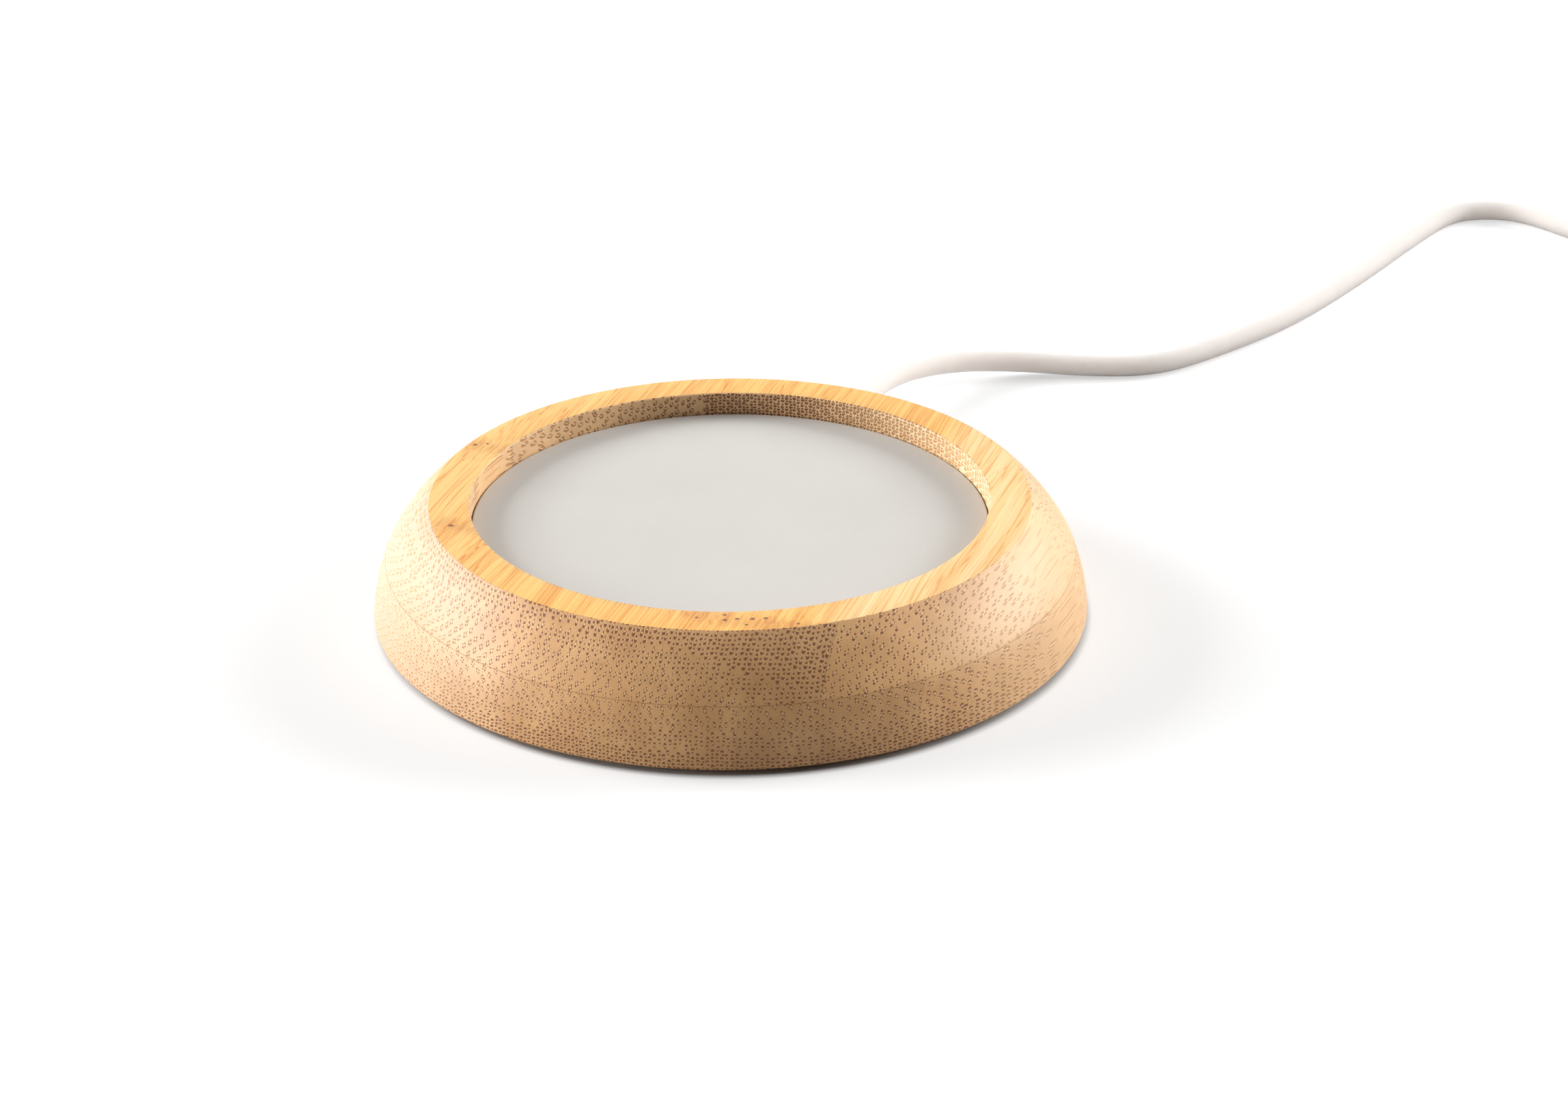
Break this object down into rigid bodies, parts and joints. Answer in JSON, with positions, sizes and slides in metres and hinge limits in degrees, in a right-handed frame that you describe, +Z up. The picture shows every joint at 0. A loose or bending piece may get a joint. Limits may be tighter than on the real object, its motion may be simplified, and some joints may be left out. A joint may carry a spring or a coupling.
{
  "type": "electric mug warmer",
  "caption": "Low round bamboo ring in two glued plies round a sunk aluminium heating plate, on rubber feet, with a thin white USB lead from its back.",
  "frame": {"origin": "on the surface it stands on, under the middle of the round body", "axes": "+Z up out of the heating plate, +Y towards the lead's exit at the back"},
  "size_m": [0.2115, 0.2396, 0.0169],
  "materials": {
    "bamboo": "sanded and oiled, vertical-laminated strips",
    "anodised_aluminium": "bead-blasted, clear anodised",
    "stainless": "zinc plated",
    "brass": "bright",
    "polyimide": "amber film",
    "felt": "needled felt",
    "fibre_board": "glass-fibre laminate",
    "circuit_board": "solder mask",
    "black_resin": "moulded epoxy",
    "ceramic": "sintered",
    "solder": "tin",
    "red_insulation": "extruded",
    "black_insulation": "extruded",
    "white_insulation": "extruded",
    "nylon": "moulded",
    "cover_plastic": "moulded, fine spark texture",
    "foot_rubber": "moulded",
    "cord_jacket": "extruded soft PVC",
    "plug_plastic": "moulded soft PVC",
    "nickel": "nickel plated",
    "gold": "gold flashed"
  },
  "bodies": {
    "root": {"bamboo_upper_ring": "bamboo", "bamboo_lower_ring": "bamboo", "base_cover": "cover_plastic", "cover_screws": "stainless", "rubber_feet": "foot_rubber", "heating_plate": "anodised_aluminium", "plate_studs": "stainless", "heating_film": "polyimide", "insulation_pad": "felt", "carrier_disc": "fibre_board", "stud_washers": "stainless", "stud_nuts": "stainless", "temperature_sensor": "black_resin", "sensor_leads": "solder", "thermal_cutoff": "black_resin", "cutoff_legs": "nickel", "heater_leads": "white_insulation", "control_board": "circuit_board", "board_spacers": "nylon", "board_screws": "stainless", "board_nuts": "brass", "control_chip": "black_resin", "chip_legs": "solder", "power_transistor": "black_resin", "transistor_legs": "solder", "ceramic_capacitors": "ceramic", "chip_resistors": "black_resin", "solder_joints": "solder", "supply_wire_red": "red_insulation", "supply_wire_black": "black_insulation", "cord_inner_end": "cord_jacket", "cord_clamp": "nylon", "clamp_screws": "stainless", "clamp_nuts": "brass", "strain_relief": "plug_plastic", "power_cord": "cord_jacket", "cord_coil": "cord_jacket", "cord_tail": "cord_jacket", "cable_tie": "nylon", "plug_strain_relief": "plug_plastic", "usb_plug_body": "plug_plastic", "usb_plug_shell": "nickel", "usb_plug_tongue": "nylon", "usb_plug_contacts": "gold"}
  },
  "joints": []
}
